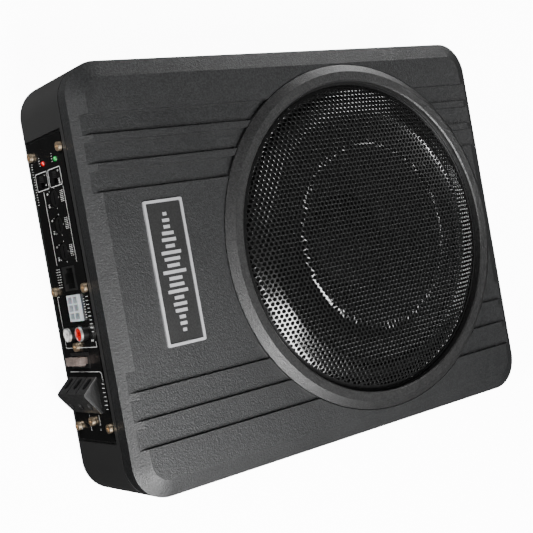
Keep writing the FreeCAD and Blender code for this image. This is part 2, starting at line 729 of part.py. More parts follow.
def knobs():
    """Trimmer knobs set in the panel's holes, with their potentiometers behind."""
    face_x = panel_face + 0.4
    radius = size("knob_radius")
    length = size("knob_length")
    z = size("knob_z")
    cans = []
    for node, y in KNOBS.items():
        cap = rod(radius, length, face_x, y, z, "+x")
        shaft = rod(size("knob_shaft"), 4.0, face_x + length - 0.1, y, z, "+x")
        mark = block(face_x - 1, face_x + 1.2, y - radius * 0.72, y + radius * 0.72,
                     z - 0.6, z + 0.6)
        keep(cut(fuse([cap, shaft]), [mark]), node)
        can_x = face_x + length + 0.4
        can = block(can_x, board_x, y - 4.8, y + 4.8, z - 5.2, z + 5.2)
        hole = rod(size("knob_shaft") + 0.06, 5.0, can_x - 0.5, y, z, "+x")
        cans.append(cut(can, [hole]))
    keep(group(cans), "potentiometers")


def remote_jack():
    """Eight-way modular jack for a wired remote level control."""
    y = size("jack_y")
    z = size("jack_z")
    wide = size("jack_half_wide")
    tall = size("jack_half_tall")
    shell = block(panel_face - 0.2, board_x, y - wide, y + wide, z - tall, z + tall)
    mouth = block(panel_face - 1, board_x - 2.2, y - 5.9, y + 5.9, z - 2.9, z + 5.4)
    latch = block(panel_face - 1, board_x - 4.0, y - 3.1, y + 3.1, z - 5.7, z - 2.8)
    keep(cut(shell, [mouth, latch]), "remote_jack")
    wires = [block(board_x - 9.0, board_x - 2.3, y + 1.02 * (i - 3.5) - 0.2,
                   y + 1.02 * (i - 3.5) + 0.2, z + 4.6, z + 5.3) for i in range(8)]
    keep(group(wires), "remote_jack_contacts")


def speaker_socket():
    """White shrouded socket for the speaker-level harness, two columns of three ways."""
    y = size("speaker_y")
    z = size("speaker_z")
    long = size("speaker_half_long")
    tall = size("speaker_half_tall")
    shell = block(panel_face - 1.8, board_x, y - long, y + long, z - tall, z + tall)
    cells = []
    pins = []
    for column in (-1, 1):
        for row_step in (-1, 0, 1):
            cy = y + size("speaker_pitch") * row_step
            cz = z + size("speaker_column") * column
            cells.append(block(panel_face - 3, board_x - 2, cy - 1.8, cy + 1.8,
                               cz - 2.6, cz + 2.6))
            pins.append(block(panel_face + 2, board_x - 2, cy - 0.5, cy + 0.5,
                              cz - 0.5, cz + 0.5))
    keep(cut(shell, cells), "speaker_input_socket")
    keep(group(pins), "speaker_input_pins")


def phono_sockets():
    """Line-level input: a moulded block with two plated barrels and coloured inserts."""
    y = size("rca_y")
    radius = size("rca_radius")
    out = size("rca_out")
    inside = ledge_x + 5.5
    beyond = 7.4
    screw_side = 10.8
    plain_side = 6.0
    housing = block(ledge_x + 0.1, board_x, y - screw_side, y + plain_side,
                    RCA_HEIGHTS[0] - beyond, RCA_HEIGHTS[1] + beyond)
    neck = size("rca_neck")
    step_x = panel_face - 0.1
    seats = [rod(neck + 0.05, 5.5, ledge_x - 0.1, y, z, "+x") for z in RCA_HEIGHTS]
    screw_y, screw_z = SMALL_SCREWS[0]
    seats.append(rod(size("boss_pilot"), 6.0, ledge_x - 0.5, screw_y, screw_z, "+x"))
    keep(cut(housing, seats), "phono_block")
    barrels = []
    for node, z in zip(("left_phono_insert", "right_phono_insert"), RCA_HEIGHTS):
        length = inside - end_face + out
        shell = rod(radius, step_x - end_face + out, end_face - out, y, z, "+x")
        sleeve = fuse([shell, rod(neck, length - 0.2, end_face - out, y, z, "+x")])
        bore = rod(radius - 0.55, length - 2.0, end_face - out - 1, y, z, "+x")
        barrels.append(cut(sleeve, [bore]))
        plug = rod(radius - 0.6, length - 3.4, end_face - out + 0.4, y, z, "+x")
        pin_hole = rod(size("rca_pin_hole"), 8.0, end_face - out - 0.6, y, z, "+x")
        keep(cut(plug, [pin_hole]), node)
    keep(group(barrels), "phono_barrels")


def fuse_and_holder():
    """Blade fuse that pulls straight out of its holder."""
    y = size("fuse_y")
    z = size("fuse_z")
    long = size("fuse_long")
    wide = size("fuse_wide")
    shoulder = ledge_x + 4.5
    half_wide = size("holder_half_wide")
    half_long = size("holder_half_long")
    offset = size("blade_offset")
    holder = block(panel_face, board_x, y - half_wide, y + half_wide, z - half_long,
                   z + half_long)
    well = block(panel_face - 1, shoulder + 0.1, y - wide / 2 - 0.25, y + wide / 2 + 0.25,
                 z - long / 2 - 0.25, z + long / 2 + 0.25)
    slits = [block(shoulder, shoulder + 6.2, y - 0.6, y + 0.6, z + offset * side - 2.9,
                   z + offset * side + 2.9) for side in (-1, 1)]
    keep(cut(holder, [well] + slits), "fuse_holder")
    grip = block(end_face - size("fuse_out"), end_face - size("fuse_out") + 3.2,
                 y - wide / 2, y + wide / 2, z - long / 2, z + long / 2)
    waist = block(end_face - size("fuse_out") + 3.1, shoulder, y - wide / 2 + 0.6,
                  y + wide / 2 - 0.6, z - long / 2 + 0.8, z + long / 2 - 0.8)
    keep(fuse([grip, waist]), "fuse_body")
    keep(group([block(shoulder, shoulder + 5.8, y - 0.35, y + 0.35, z + offset * side - 2.6,
                      z + offset * side + 2.6) for side in (-1, 1)]), "fuse_blades")


def terminal_block():
    """Three-way power terminal: a wedge with sloped screw slots above and wire entries below."""
    low = size("block_low")
    pitch = size("block_pitch")
    out = size("block_out")
    well_offsets = (3.2, 6.6)
    screw_offset = 4.9
    top_y = size("block_top_y")
    foot_y = size("block_foot_y")
    ridge = size("block_ridge_y")
    body = doc.addObject("PartDesign::Body", "wedge")
    outline = sketch_on(body, "XY_Plane", low)
    tip_x = panel_face - out
    polygon(outline, [
        (panel_face, top_y), (tip_x + 1.3, ridge + 2.0), (tip_x, ridge + 0.6),
        (tip_x, ridge - 0.9), (tip_x + 0.9, ridge - 2.2),
        (panel_face - 0.9, foot_y), (panel_face, foot_y)])
    pad(body, outline, pitch * 3)
    stem = block(panel_face - 0.1, board_x - 3, foot_y + 1.4, top_y - 1.4, low + 5.8,
                 low + pitch * 3 - 2.2)
    screw_y, screw_z = SMALL_SCREWS[1]
    ear = block(ledge_x + 0.1, ledge_x + 6, screw_y - 4, foot_y + 2, screw_z - 4, screw_z + 4)
    slope = Vector(1.3 - out.value, ridge.value + 2.0 - top_y.value, 0)
    slope.normalize()
    outward = Vector(slope.y, -slope.x, 0)
    turn = FreeCAD.Rotation(slope, Vector(0, 0, 1), outward, "XZY")
    start = Vector(panel_face.value, top_y.value, 0)
    fall = Vector(out.value - 1.8, foot_y.value - ridge.value + 2.2, 0)
    fall.normalize()
    below = Vector(fall.y, -fall.x, 0)
    entry_turn = FreeCAD.Rotation(Vector(0, 0, 1), below)
    entry_middle = Vector(tip_x.value + 0.9, ridge.value - 2.2, 0) + fall * 7.0
    tools = []
    for cell in range(3):
        z = low + pitch * (cell + 0.5)
        ends = []
        for along in well_offsets:
            spot = start + slope * along - outward * 3.0
            ends.append(rod(2.3, 6.0, spot.x, spot.y, z, turn))
        corner = start + slope * well_offsets[0] - outward * 3.0
        web = doc.addObject("Part::Box", "web")
        web.Length = well_offsets[1] - well_offsets[0]
        web.Width = 4.6
        web.Height = 6.0
        place(web, corner.x, corner.y, z - 2.3, turn)
        deep = start + slope * screw_offset - outward * 6.2
        tools += ends + [web, rod(2.15, 4.0, deep.x, deep.y, z, turn)]
        mouth = entry_middle - below * size("wire_depth").value
        tools.append(rod(size("wire_bore"), size("wire_depth") + 4, mouth.x, mouth.y, z,
                         entry_turn))
        head = start + slope * screw_offset - outward * 3.2
        screw_body = rod(2.05, 2.6, (head - outward * 2.6).x, (head - outward * 2.6).y, z, turn)
        slit = doc.addObject("Part::Box", "slit")
        slit.Length = 5.0
        slit.Width = 0.8
        slit.Height = 1.0
        edge = head - slope * 2.5 - outward * 0.8
        place(slit, edge.x, edge.y, z - 0.4, turn)
        keep(cut(screw_body, [slit]), "clamp_screw_%d" % (cell + 1))
    for seam in (1, 2):
        spot = start - outward * 0.9
        groove = doc.addObject("Part::Box", "groove")
        groove.Length = 12.0
        groove.Width = 0.9
        groove.Height = 3.0
        place(groove, spot.x, spot.y, low + pitch * seam - 0.45, turn)
        tools.append(groove)
    tools.append(rod(size("boss_pilot"), 8.0, ledge_x - 0.5, screw_y, screw_z, "+x"))
    keep(cut(fuse([body, stem, ear]), tools), "terminal_block")
    pins = [block(board_x - 3, board_x, -63.0, -59.0, low + pitch * (cell + 0.5) - 1.0,
                  low + pitch * (cell + 0.5) + 1.0) for cell in range(3)]
    keep(group(pins), "terminal_pins")


def boards():
    """Upright control board behind the panel and the flat amplifier board with its parts."""
    keep(block(board_x, board_x + size("board_thick"), -83, 83, 9.5, 44.5), "control_board")
    low = size("main_board_z")
    top = low + size("board_thick")
    board = block(-138, -70, -100, 100, low, top)
    holes = [rod(size("screw_hole"), 4, x, y, low - PROUD) for x, y in BOARD_POSTS]
    keep(cut(board, holes), "amplifier_board")
    keep(group([screw(*BOARD_SCREW, x, y, top, "+z") for x, y in BOARD_POSTS]),
         "board_screws")
    core_radius = 20
    core_bore = 7.5
    core_height = 15
    keep(tube(core_radius, core_bore, top, top + core_height, -104, 52), "toroid_transformer")
    can_radius = 8
    can_height = 32
    keep(group([rod(can_radius, can_height, -112, y, top) for y in (-46, -26, -6)]),
         "filter_capacitors")
    wall = half_width - size("case_wall") - 0.2
    bar_thick = 6.0
    chip_thick = 4.6
    keep(block(-136, -74, -wall, bar_thick - wall, size("case_floor") + 0.2, 40),
         "heat_spreader")
    keep(group([block(x - 5, x + 5, bar_thick - wall, bar_thick + chip_thick - wall, 16, 31)
                for x in (-127, -112, -97, -82)]), "power_transistors")


def driver_leads():
    """Two leads from the driver's tags down to the amplifier board."""
    tags = driver_x.value - size("basket_throat").value - 9.5
    run = 8.0
    bend = 10.0
    level = 54.0
    foot = size("main_board_z").value + size("board_thick").value
    leads = []
    for y in (-5.0, 5.0):
        tag = Vector(tags, y, level)
        turn_in = Vector(tags - run, y, level)
        turn_out = Vector(tags - run - bend, y, level - bend)
        half = math.sqrt(0.5) * bend
        apex = Vector(tags - run - half, y, level - bend + half)
        path = Part.Wire([
            Part.LineSegment(tag, turn_in).toShape(),
            Part.Arc(turn_in, apex, turn_out).toShape(),
            Part.LineSegment(turn_out, Vector(turn_out.x, y, foot)).toShape()])
        ring = Part.Wire(Part.Circle(tag, Vector(1, 0, 0), 1.1).toShape())
        leads.append(path.makePipeShell([ring], True, True))
    item = doc.addObject("Part::Feature", "driver_leads")
    item.Shape = Part.makeCompound(leads)
    item.Placement = FreeCAD.Placement()
    keep(item, "driver_leads")


for build in (base_casing, front_lid, lid_gasket, trim_and_grille, lid_screws, driver_frame,
              driver_motor, moving_cone, panel_plate, panel_screws, lights, switches, knobs,
              remote_jack, speaker_socket, phono_sockets, fuse_and_holder, terminal_block,
              boards, driver_leads):
    build()
doc.recompute()

faults = [o.Label for o in doc.Objects if "Invalid" in o.State or "Error" in o.State]
for node, item in subparts.items():
    if item.Shape.isNull() or not item.Shape.isValid() or not item.Shape.Solids:
        faults.append(node)
if faults:
    raise SystemExit("failed: %s" % ", ".join(faults))
for node, item in subparts.items():
    item.Shape.exportStep("parts/%s.step" % node)
    box = item.Shape.BoundBox
    print("%-22s %2d solids %10.1f mm3  x %7.2f %7.2f  y %7.2f %7.2f  z %6.2f %6.2f" % (
        node, len(item.Shape.Solids), item.Shape.Volume,
        box.XMin, box.XMax, box.YMin, box.YMax, box.ZMin, box.ZMax))
print(len(subparts), "sub-parts")
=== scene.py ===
import math

import bmesh
import bpy
from mathutils import Matrix, Vector


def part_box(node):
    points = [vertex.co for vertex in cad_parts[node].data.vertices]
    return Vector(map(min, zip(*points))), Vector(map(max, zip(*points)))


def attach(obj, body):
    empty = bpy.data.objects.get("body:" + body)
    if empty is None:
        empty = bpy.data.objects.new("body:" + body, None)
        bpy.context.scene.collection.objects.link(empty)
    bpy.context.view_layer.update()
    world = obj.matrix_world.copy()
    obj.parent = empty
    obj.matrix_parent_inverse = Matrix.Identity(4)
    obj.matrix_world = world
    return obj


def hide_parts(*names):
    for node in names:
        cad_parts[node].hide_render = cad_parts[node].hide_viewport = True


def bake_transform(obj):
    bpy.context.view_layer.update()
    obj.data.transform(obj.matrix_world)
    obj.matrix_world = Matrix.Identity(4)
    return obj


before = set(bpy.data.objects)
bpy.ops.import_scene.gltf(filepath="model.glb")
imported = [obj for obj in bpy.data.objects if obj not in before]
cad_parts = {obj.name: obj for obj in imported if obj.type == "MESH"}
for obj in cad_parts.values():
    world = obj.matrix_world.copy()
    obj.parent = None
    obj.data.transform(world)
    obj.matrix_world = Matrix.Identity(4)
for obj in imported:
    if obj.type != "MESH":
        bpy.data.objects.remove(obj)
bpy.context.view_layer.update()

MM = 0.001

# Camera: over the control end, looking down and along the lid.
# The long side of the cabinet runs to the right and the control panel stands on the left.
camera_at = Vector((-413.6, 6.8, 567.8)) * MM
camera_looks_at = Vector((-61.2, -4.9, 60.0)) * MM
picture_right = Vector((0.8069, -0.1756, 0.5640))
camera_data = bpy.data.cameras.new("camera")
camera_data.sensor_width = 36.0
camera_data.lens = 69.9
camera_data.shift_x = 0.0506
camera_data.shift_y = 0.0020
camera_data.clip_end = 100.0
camera = bpy.data.objects.new("camera", camera_data)
bpy.context.scene.collection.objects.link(camera)
back = (camera_at - camera_looks_at).normalized()
right = (picture_right - back * picture_right.dot(back)).normalized()
up = back.cross(right)
camera.matrix_world = Matrix((
    (right.x, up.x, back.x, camera_at.x),
    (right.y, up.y, back.y, camera_at.y),
    (right.z, up.z, back.z, camera_at.z),
    (0, 0, 0, 1)))
bpy.context.scene.camera = camera


# Studio: a plain pale floor with a pale wall round it, a large soft box over the near long side,
# a narrow strip past the far end and three weak fills.
class Number:
    """A value inside a node tree. Arithmetic on it adds Math nodes."""

    def __init__(self, tree, socket):
        self.tree = tree
        self.socket = socket

    def math(self, operation, *values):
        return self.tree.add("ShaderNodeMath", {"operation": operation}, dict(enumerate(values)))

    def __add__(self, other):
        return self.math("ADD", self, other)

    def __sub__(self, other):
        return self.math("SUBTRACT", self, other)

    def __rsub__(self, other):
        return self.math("SUBTRACT", other, self)

    def __mul__(self, other):
        return self.math("MULTIPLY", self, other)

    def __truediv__(self, other):
        return self.math("DIVIDE", self, other)

    def __mod__(self, other):
        return self.math("FLOORED_MODULO", self, other)

    def root(self):
        return self.math("SQRT", self)

    def at_least(self, other):
        return self.math("MAXIMUM", self, other)

    def rounded_up(self):
        return self.math("CEIL", self)

    def __gt__(self, other):
        return self.math("GREATER_THAN", self, other)

    def __lt__(self, other):
        return self.math("LESS_THAN", self, other)

    __radd__ = __add__
    __rmul__ = __mul__


class Tree:
    """A node tree, added to one node at a time."""

    def feed(self, socket, value):
        if isinstance(value, Number):
            self.tree.links.new(value.socket, socket)
        elif isinstance(value, list):
            for item in value:
                self.feed(socket, item)
        else:
            socket.default_value = value

    def add(self, kind, settings=None, sockets=None, out=0):
        node = self.tree.nodes.new(kind)
        for name, value in (settings or {}).items():
            setattr(node, name, value)
        for name, value in (sockets or {}).items():
            self.feed(node.inputs[name], value)
        return Number(self, node.outputs[out])


class Finish(Tree):
    """A material on one Principled shader, patterned on the object's own coordinates."""

    def __init__(self, name, sockets):
        self.material = bpy.data.materials.new(name)
        self.material.use_nodes = True
        self.tree = self.material.node_tree
        self.shader = self.tree.nodes["Principled BSDF"]
        self.place = self.add("ShaderNodeTexCoord", out="Object")
        self.set(sockets)

    def set(self, sockets):
        for name, value in sockets.items():
            self.feed(self.shader.inputs[name], value)

    def stretched(self, scale, turn=(0, 0, 0)):
        return self.add("ShaderNodeMapping", {},
                        {"Vector": self.place, "Scale": scale, "Rotation": turn})

    def noise(self, scale, detail=2.0, place=None):
        return self.add("ShaderNodeTexNoise", {},
                        {"Vector": place or self.place, "Scale": scale, "Detail": detail})

    def cells(self, scale):
        return self.add("ShaderNodeTexVoronoi", {}, {"Vector": self.place, "Scale": scale})

    def between(self, value, low, high, to_low=0.0, to_high=1.0):
        return self.add("ShaderNodeMapRange", {},
                        {"Value": value, "From Min": low, "From Max": high,
                         "To Min": to_low, "To Max": to_high})

    def blend(self, share, first, second):
        return self.add("ShaderNodeMix", {"data_type": "RGBA"}, {0: share, 6: first, 7: second}, 2)

    def relief(self, height, depth):
        self.set({"Normal": self.add("ShaderNodeBump", {}, {
            "Height": height, "Distance": depth, "Strength": 1.0})})


def grey(level, warmth=0.0):
    return (level * (1 + warmth), level, level * (1 - warmth), 1.0)


pale_floor = Finish("pale_floor", {"Roughness": 0.8, "Emission Color": grey(1.0),
                                   "Emission Strength": 11.0})
pale_floor.set({"Base Color": pale_floor.blend(pale_floor.noise(3.0), grey(0.80), grey(0.84))})
FLOOR_REACH = 12.0
bpy.ops.mesh.primitive_plane_add(size=2 * FLOOR_REACH, location=(0, 0, -0.0002))
floor = bpy.context.object
floor.name = "floor"
bpy.ops.mesh.primitive_uv_sphere_add(segments=48, ring_count=24, radius=FLOOR_REACH)
wall = bpy.context.object
wall.name = "pale_wall"
for stage_piece in (floor, wall):
    stage_piece.data.materials.append(pale_floor.material)
    stage_piece.visible_glossy = False
    stage_piece.visible_diffuse = False
wall.visible_shadow = False


def soft_box(name, direction, distance, wide, high, watts):
    """A rectangular light that faces the middle of the lid."""
    data = bpy.data.lights.new(name, "AREA")
    data.shape = "RECTANGLE"
    data.size = wide
    data.size_y = high
    data.energy = watts
    light = bpy.data.objects.new(name, data)
    toward = Vector(direction).normalized()
    light.location = toward * distance + Vector((0, 0, 0.06))
    light.visible_camera = False
    light.rotation_euler = toward.to_track_quat("Z", "Y").to_euler()
    bpy.context.scene.collection.objects.link(light)


soft_box("key", (-0.14, -0.58, 0.80), 0.9, 0.34, 0.62, 24.0)
soft_box("far_strip", (0.83, 0.16, 0.50), 0.9, 0.05, 0.03, 0.7)
soft_box("left_fill", (-0.78, 0.62, 0.04), 0.60, 0.20, 0.14, 3.6)
soft_box("end_light", (-0.90, -0.10, 0.42), 0.9, 0.25, 0.18, 4.0)
soft_box("rear_fill", (0.66, 0.74, 0.08), 1.4, 0.6, 0.3, 7.0)
world = bpy.data.worlds.new("studio")
world.use_nodes = True
world.node_tree.nodes["Background"].inputs["Color"].default_value = grey(1.0)
world.node_tree.nodes["Background"].inputs["Strength"].default_value = 0.025
bpy.context.scene.world = world


# Tray: the deep lower half of the cabinet, one die casting in aluminium with a smooth satin
# black powder coat. Its left end is recessed for the control panel.
def give(finish, *nodes):
    """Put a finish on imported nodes."""
    for name in nodes:
        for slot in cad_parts[name].material_slots:
            slot.material = finish.material


tray_black = Finish("tray_black", {"Specular IOR Level": 0.4})
clouds = tray_black.noise(14.0, 3.0)
fine = tray_black.noise(1500.0, 2.0)
tray_black.set({"Base Color": tray_black.blend(clouds, grey(0.016), grey(0.022)),
                "Roughness": 0.34 + 0.10 * clouds + 0.06 * fine})
tray_black.relief(fine, 0.00003)
give(tray_black, "base_casing")


# Lid: the moulded front, a thin shell in black ABS with a fine spark-eroded stipple all over,
# broad bevels round its edge and recessed bands that run out to the bevel.
def stipple(name, dark, light, roughness, depth):
    """Stippled moulding: grains under half a millimetre across that stand up and catch light.

    The finish keeps its colour, grain tops painted lighter as a painted highlight over random
    patches of tone, so that a part can cover some of it with another.
    """
    finish = Finish(name, {"Specular IOR Level": 0.5})
    grains = finish.noise(950.0, 3.0)
    pits = finish.cells(1700.0)
    patches = finish.noise(9.0, 2.0)
    highlit_peaks = finish.between(grains, 0.38, 0.66)
    rub = finish.between(finish.noise(42.0, 4.0), 0.45, 0.75)
    # Painted highlight: the grain tops are coloured lighter for the light they catch, mixed with
    # random patches of tone.
    finish.colour = finish.blend(highlit_peaks * 0.75 + patches * 0.25, dark, light)
    finish.set({"Base Color": finish.colour,
                "Roughness": roughness - 0.10 * highlit_peaks - 0.05 * rub})
    finish.relief(grains * 0.7 + pits * 0.3, depth)
    return finish


lid_black = stipple("lid_black", grey(0.002, -0.03), grey(0.020, -0.03), 0.52, 0.00030)
give(lid_black, "front_lid")
foam_black = stipple("foam_black", grey(0.004), grey(0.008), 0.95, 0.0002)
give(foam_black, "lid_gasket")


# Trim ring: a stippled moulding like the lid, a shade lighter, with a wide outer chamfer and a
# flat band. It drops into the lid's rebate and clamps the grille.
ring_grey = stipple("ring_grey", grey(0.003), grey(0.030), 0.42, 0.00030)
give(ring_grey, "grille_ring")


# Grille: thin sheet steel, punched with round holes in staggered rows along the cabinet,
# pressed into a shallow stepped dome and coated in gloss black. A plain rim goes under the ring.
class Recipe(Tree):
    """A geometry tree with named sizes, which an object's modifier sets."""

    def __init__(self, name, *sizes):
        self.tree = bpy.data.node_groups.new(name, "GeometryNodeTree")
        face = self.tree.interface
        face.new_socket("Geometry", in_out="OUTPUT", socket_type="NodeSocketGeometry")
        self.keys = {}
        for size in sizes:
            self.keys[size] = face.new_socket(
                size, in_out="INPUT", socket_type="NodeSocketFloat").identifier
        self.entry = self.tree.nodes.new("NodeGroupInput")
        self.result = self.tree.nodes.new("NodeGroupOutput")

    def size(self, name):
        return Number(self, self.entry.outputs[name])

    def grow(self, geometry, finish):
        """End the tree: instances made real, and the finish put on."""
        real = self.add("GeometryNodeRealizeInstances", {}, {"Geometry": geometry})
        self.feed(self.result.inputs[0], self.add("GeometryNodeSetMaterial", {}, {
            "Geometry": real, "Material": finish.material}))

    def make(self, name, finish, body, slot, sizes, wall=None):
        """Run the tree with these sizes, and keep the result as a plain mesh piece."""
        maker = bpy.data.objects.new(name, bpy.data.meshes.new(name))
        bpy.context.scene.collection.objects.link(maker)
        tool = maker.modifiers.new("recipe", "NODES")
        tool.node_group = self.tree
        for size, value in sizes.items():
            tool[self.keys[size]] = value
        if wall:
            thicken = maker.modifiers.new("wall", "SOLIDIFY")
            thicken.thickness = wall
            thicken.offset = -1
        graph = bpy.context.evaluated_depsgraph_get()
        mesh = bpy.data.meshes.new_from_object(maker.evaluated_get(graph))
        bpy.data.objects.remove(maker)
        return piece(name, mesh, finish, body)


def piece(name, mesh, finish, body):
    """Add a finished mesh to the object."""
    mesh.name = name
    if not mesh.materials:
        mesh.materials.append(finish.material)
    item = bpy.data.objects.new(name, mesh)
    bpy.context.scene.collection.objects.link(item)
    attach(item, body)
    return item


FLANGE = 4.4 * MM
PLAIN_EDGE = 1.2 * MM
SLOPE_WIDTH = 17.6 * MM
SLOPE_DROP = 6.4 * MM
STEP_RISE = 1.3 * MM
STEP_INSIDE = 1.4 * MM
STEP_OUTSIDE = 0.9 * MM
SETTLED = 22.0 * MM
RIM_DROP = 1.8 * MM
WELD = 0.03 * MM
grille_low, grille_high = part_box("grille_mesh")
centre_x = (grille_low.x + grille_high.x) / 2
flange_reach = (grille_high.x - grille_low.x) / 2
edge_reach = flange_reach - FLANGE
holes_end = edge_reach - PLAIN_EDGE
shoulder_reach = edge_reach - SLOPE_WIDTH
step_reach = 59.0 * MM
dome_top = grille_high.z
plateau = dome_top - STEP_RISE
edge_height = plateau - SLOPE_DROP
sheet_wall = 0.8 * MM
HOLE = 2.4 * MM
HOLE_PITCH = 3.15 * MM
HOLE_SIDES = 10

gloss_black = Finish("gloss_black", {"Specular IOR Level": 0.6, "Coat Weight": 0.6,
                                     "Coat Roughness": 0.12})
orange_peel = gloss_black.noise(700.0, 2.0)
gloss_black.set({"Base Color": gloss_black.blend(orange_peel, grey(0.005), grey(0.014)),
                 "Roughness": 0.13 + 0.12 * orange_peel})
gloss_black.relief(orange_peel, 0.00004)

perforation = Recipe("perforation", "Centre", "From Radius", "To Radius", "Pitch", "Hole",
                     "Edge", "Shoulder", "Step", "Edge Height", "Plateau", "Top")
pitch = perforation.size("Pitch")
hole = perforation.size("Hole")
row = pitch * (math.sqrt(3) / 2)
lip = 0.14 * MM
hexagon = perforation.add("GeometryNodeCurvePrimitiveCircle", {},
                          {"Resolution": 6, "Radius": pitch / math.sqrt(3)})
hexagon = perforation.add("GeometryNodeTransform", {},
                          {"Geometry": hexagon, "Rotation": (0, 0, math.radians(30))})
rim = perforation.add("GeometryNodeCurvePrimitiveCircle", {},
                      {"Resolution": HOLE_SIDES, "Radius": hole / 2 + lip})
flat = perforation.add("GeometryNodeFillCurve", {"mode": "NGONS"}, {
    "Curve": perforation.add("GeometryNodeJoinGeometry", {}, {"Geometry": [hexagon, rim]})})
funnel = perforation.add("GeometryNodeMeshCone", {"fill_type": "NONE"}, {
    "Vertices": HOLE_SIDES, "Radius Bottom": hole / 2, "Radius Top": hole / 2 + lip, "Depth": lip})
funnel = perforation.add("GeometryNodeTransform", {},
                         {"Geometry": funnel, "Translation": (0, 0, -lip)})
funnel = perforation.add("GeometryNodeFlipFaces", {}, {"Mesh": funnel})
cell = perforation.add("GeometryNodeJoinGeometry", {}, {"Geometry": [flat, funnel]})
reach = perforation.size("To Radius")
columns = (reach / pitch).rounded_up()
rows = (reach / (row * 2)).rounded_up() * 2
grid = perforation.add("GeometryNodeMeshGrid", {}, {
    "Size X": columns * 2 * pitch, "Size Y": rows * 2 * row,
    "Vertices X": columns * 2 + 1, "Vertices Y": rows * 2 + 1})
line = perforation.add("GeometryNodeInputIndex") % (rows * 2 + 1)
grid = perforation.add("GeometryNodeSetPosition", {}, {
    "Geometry": grid, "Offset": perforation.add("ShaderNodeCombineXYZ", {}, {
        "X": (line % 2) * pitch * 0.5})})
spot = perforation.add("GeometryNodeInputPosition")
from_middle = perforation.add("ShaderNodeVectorMath", {"operation": "LENGTH"}, {0: spot}, "Value")
outside = (from_middle > reach) + (from_middle < perforation.size("From Radius"))
grid = perforation.add("GeometryNodeDeleteGeometry", {"domain": "POINT"},
                       {"Geometry": grid, "Selection": outside})
cells = perforation.add("GeometryNodeInstanceOnPoints", {}, {"Points": grid, "Instance": cell})
cells = perforation.add("GeometryNodeRealizeInstances", {}, {"Geometry": cells})
cells = perforation.add("GeometryNodeMergeByDistance", {},
                        {"Geometry": cells, "Distance": WELD})
past_shoulder = from_middle - perforation.size("Shoulder")
rounding = 2.6 * MM
rim_roll = 6.0 * MM
bend = (past_shoulder + (past_shoulder * past_shoulder + rounding ** 2).root()) * 0.5
fall = (perforation.size("Plateau") - perforation.size("Edge Height")) / (
    perforation.size("Edge") - perforation.size("Shoulder"))
past_rim = (from_middle - perforation.size("Edge") + rim_roll).at_least(0.0)
roll_down = past_rim * past_rim * (RIM_DROP / rim_roll ** 2)
past_step = from_middle - perforation.size("Step")
rise = perforation.size("Top") - perforation.size("Plateau")
lift = perforation.add("ShaderNodeMapRange", {"interpolation_type": "SMOOTHSTEP"}, {
    "Value": past_step, "From Min": -STEP_INSIDE, "From Max": STEP_OUTSIDE,
    "To Min": rise, "To Max": rise * 0.25})
settle = perforation.add("ShaderNodeMapRange", {}, {
    "Value": past_step, "From Min": STEP_OUTSIDE, "From Max": SETTLED,
    "To Min": 0.0, "To Max": rise * -0.25})
dome = perforation.add("ShaderNodeCombineXYZ", {}, {
    "X": perforation.size("Centre"),
    "Z": perforation.size("Plateau") + lift + settle - bend * fall - roll_down})
perforation.grow(perforation.add("GeometryNodeSetPosition", {},
                                 {"Geometry": cells, "Offset": dome}), gloss_black)

GRILLE_ZONES = {"grille_top": (-1.0, step_reach), "grille_plateau": (step_reach, shoulder_reach),
                "grille_slope": (shoulder_reach, holes_end)}
grille_pieces = [
    perforation.make(name, gloss_black, "cabinet", "grille_black", {
        "Centre": centre_x, "From Radius": zone[0], "To Radius": zone[1], "Pitch": HOLE_PITCH,
        "Hole": HOLE, "Edge": edge_reach, "Shoulder": shoulder_reach, "Step": step_reach,
        "Edge Height": edge_height, "Plateau": plateau, "Top": dome_top}, wall=sheet_wall)
    for name, zone in GRILLE_ZONES.items()]


def lathe(name, profile, centre, sides=160, start=0.0, sweep=2 * math.pi):
    """A closed ring turned about the upright axis through a centre, or a part of one."""
    whole = sweep == 2 * math.pi
    shape = bmesh.new()
    columns = []
    for side in range(sides if whole else sides + 1):
        angle = start + sweep * side / sides
        columns.append([shape.verts.new((centre[0] + reach * math.cos(angle),
                                         centre[1] + reach * math.sin(angle), height))
                        for reach, height in profile])
    for here, there in zip(columns, columns[1:] + columns[:1] if whole else columns[1:]):
        for step in range(len(profile)):
            after = (step + 1) % len(profile)
            shape.faces.new((here[step], there[step], there[after], here[after]))
    if not whole:
        shape.faces.new(columns[0])
        shape.faces.new(columns[-1][::-1])
    bmesh.ops.recalc_face_normals(shape, faces=shape.faces)
    mesh = bpy.data.meshes.new(name)
    shape.to_mesh(mesh)
    shape.free()
    mesh.shade_smooth()
    mesh.set_sharp_from_angle(angle=math.radians(30))
    return mesh


rim_top = edge_height + 0.25 * MM
rim_profile = [
    (holes_end - 1.2 * MM, rim_top), (edge_reach - 0.7 * MM, edge_height - 1.2 * MM),
    (edge_reach, edge_height - 2.0 * MM), (edge_reach, grille_low.z + sheet_wall),
    (flange_reach, grille_low.z + sheet_wall), (flange_reach, grille_low.z),
    (edge_reach - sheet_wall, grille_low.z), (edge_reach - sheet_wall, edge_height - 2.4 * MM),
    (holes_end - 1.2 * MM, rim_top - sheet_wall)]
grille_rim = piece("grille_rim", lathe("grille_rim", rim_profile, (centre_x, 0.0)),
                   gloss_black, "cabinet")
for part in grille_pieces + [grille_rim]:
    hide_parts("grille_mesh")


# Badge: a bright rolled-metal frame round a dark grained plate, stuck to the face. The plate
# carries a plain row of raised level bars in the same bright metal.
def metal(name, colour, roughness, brushed=(40.0, 1400.0, 900.0), share=1.0):
    """Bare or plated metal with a fine grain along one direction."""
    finish = Finish(name, {"Metallic": share})
    grain = finish.noise(1.0, 3.0, finish.stretched(brushed))
    tarnish = finish.noise(160.0, 3.0)
    dull = tuple(0.72 * part for part in colour[:3]) + (1.0,)
    finish.set({"Base Color": finish.blend(tarnish, dull, colour),
                "Roughness": roughness + 0.14 * grain})
    finish.relief(grain, 0.00002)
    return finish


